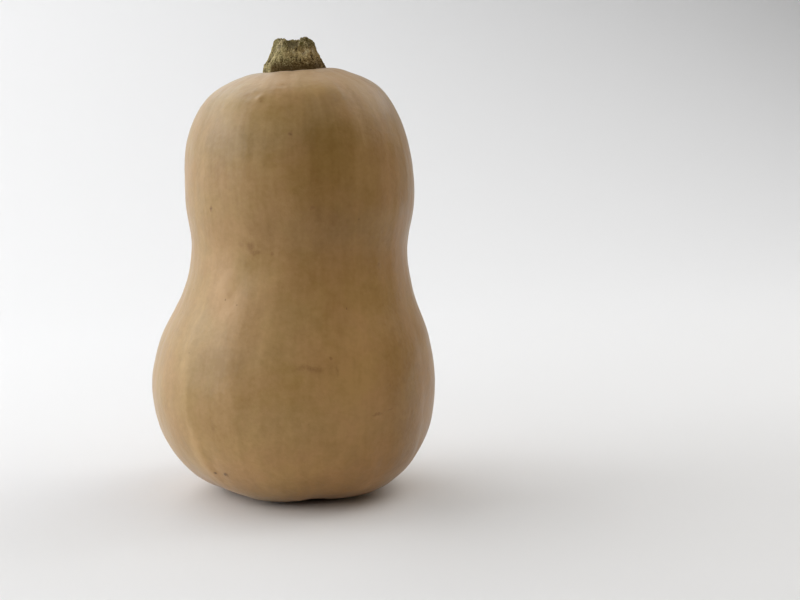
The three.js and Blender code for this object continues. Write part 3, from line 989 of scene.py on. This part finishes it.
# The cove in metres. One flat face fills its first ring.
SWEEP_CENTRE = (1.2, -1.4)
SWEEP_FIRST_RADIUS = 0.1
SWEEP_FLOOR_RADIUS = 2.3
SWEEP_CURVE_RADIUS = 1.3
SWEEP_WALL_HEIGHT = 2.6
SWEEP_FLOOR_RINGS = 12
SWEEP_CURVE_RINGS = 31
SWEEP_STEPS = 192


def paper_material():
    paper = Shading("sweep_paper")
    ahead = paper.along(paper.place(), PAPER_FADE_DIRECTION)
    colour = paper.mix(paper.ease(ahead, *PAPER_FADE), PAPER_PALE, PAPER_GREY)
    return paper.finish(Base_Color=colour, Roughness=PAPER_ROUGHNESS)


def sweep_line():
    """Radius and height of the cove's rings, from the floor up the curve to the wall's top."""
    angles = np.linspace(0, math.pi / 2, SWEEP_CURVE_RINGS + 1)[1:]
    floor = np.linspace(SWEEP_FIRST_RADIUS, SWEEP_FLOOR_RADIUS, SWEEP_FLOOR_RINGS)
    curve = SWEEP_FLOOR_RADIUS + SWEEP_CURVE_RADIUS * np.sin(angles)
    curve_height = SWEEP_CURVE_RADIUS * (1 - np.cos(angles))
    radius = np.concatenate([floor, curve, curve[-1:]])
    height = np.concatenate([np.zeros(SWEEP_FLOOR_RINGS), curve_height, [SWEEP_WALL_HEIGHT]])
    return radius[:, None], height[:, None]


def make_sweep():
    """A round studio cove: a pale floor that curves up into a wall."""
    radius, height = sweep_line()
    around = azimuths(SWEEP_STEPS)
    x = SWEEP_CENTRE[0] + radius * np.sin(around)
    y = SWEEP_CENTRE[1] - radius * np.cos(around)
    points = np.stack([x, y, np.broadcast_to(height, x.shape)], -1)
    faces = [list(range(SWEEP_STEPS))]
    for ring in range(0, x.size - SWEEP_STEPS, SWEEP_STEPS):
        for step in range(SWEEP_STEPS):
            here, beside = ring + step, ring + (step + 1) % SWEEP_STEPS
            faces.append([here, here + SWEEP_STEPS, beside + SWEEP_STEPS, beside])
    mesh = smooth_mesh("sweep", points.reshape(-1, 3), faces)
    mesh.materials.append(paper_material())
    add_object("sweep", mesh)


# Each light's direction in degrees from the front towards +X, its height in degrees, its size, its
# power and its colour. All of them look at the middle of the fruit from the same distance.
WHITE = (1.0, 1.0, 1.0)
WARM = (1.0, 0.78, 0.48)
PALE_WARM = (1.0, 0.93, 0.80)
LIGHT_AIM = (0, 0, 0.12)
LIGHT_DISTANCE = 1.5
LIGHTS = {
    "window_left": (-86, 15, (1.4, 1.25), 15.5, WHITE),
    "window_front_left": (-50, 24, (1.2, 0.9), 4.8, WHITE),
    "window_back_left": (-104, 44, (1.1, 1.1), 5.6, WHITE),
    "panel_back_left": (-150, 40, (1.3, 1.1), 4.6, WHITE),
    "panel_back_right": (131, 40, (1.3, 1.1), 7.7, WHITE),
    "panel_right": (98, 50, (1.1, 1.0), 4.5, PALE_WARM),
    "top_fill": (40, 62, (1.0, 1.0), 2.2, WHITE),
    "front_fill": (-8, 32, (1.2, 0.8), 2.4, WHITE),
    "warm_fill": (66, 18, (0.9, 0.7), 1.3, WARM),
}
# A lamp behind the fruit's left side lights the lower wall.
WASH_PLACE = (-0.7, 1.0, 1.6)
WASH_AIM = (-0.9, 2.0, 0.3)
WASH_SIZE = (0.8, 0.8)
WASH_POWER = 5.8


def area_light(name, place, aim, size, power, colour):
    data = bpy.data.lights.new(name, "AREA")
    data.shape = "RECTANGLE"
    data.size, data.size_y = size
    data.energy = power
    data.color = colour
    light = add_object(name, data)
    light.location = place
    direction = Vector(aim) - Vector(place)
    light.rotation_euler = direction.to_track_quat("-Z", "Y").to_euler()
    light.visible_camera = False


def make_lights():
    for name, (azimuth, rise, size, power, colour) in LIGHTS.items():
        turn, lift = math.radians(azimuth), math.radians(rise)
        level = LIGHT_DISTANCE * math.cos(lift)
        above = LIGHT_DISTANCE * math.sin(lift)
        offset = Vector((level * math.sin(turn), -level * math.cos(turn), above))
        area_light(name, Vector(LIGHT_AIM) + offset, LIGHT_AIM, size, power, colour)
    area_light("wall_wash", WASH_PLACE, WASH_AIM, WASH_SIZE, WASH_POWER, WHITE)


def make_world():
    """Only the lights shine: the world round the cove is black."""
    world = bpy.data.worlds.new("studio")
    bpy.context.scene.world = world
    world.use_nodes = True
    world.node_tree.nodes["Background"].inputs["Strength"].default_value = 0.0
    bpy.context.scene.view_settings.view_transform = "Standard"


make_camera()
make_fruit()
make_stem()
make_sweep()
make_lights()
make_world()
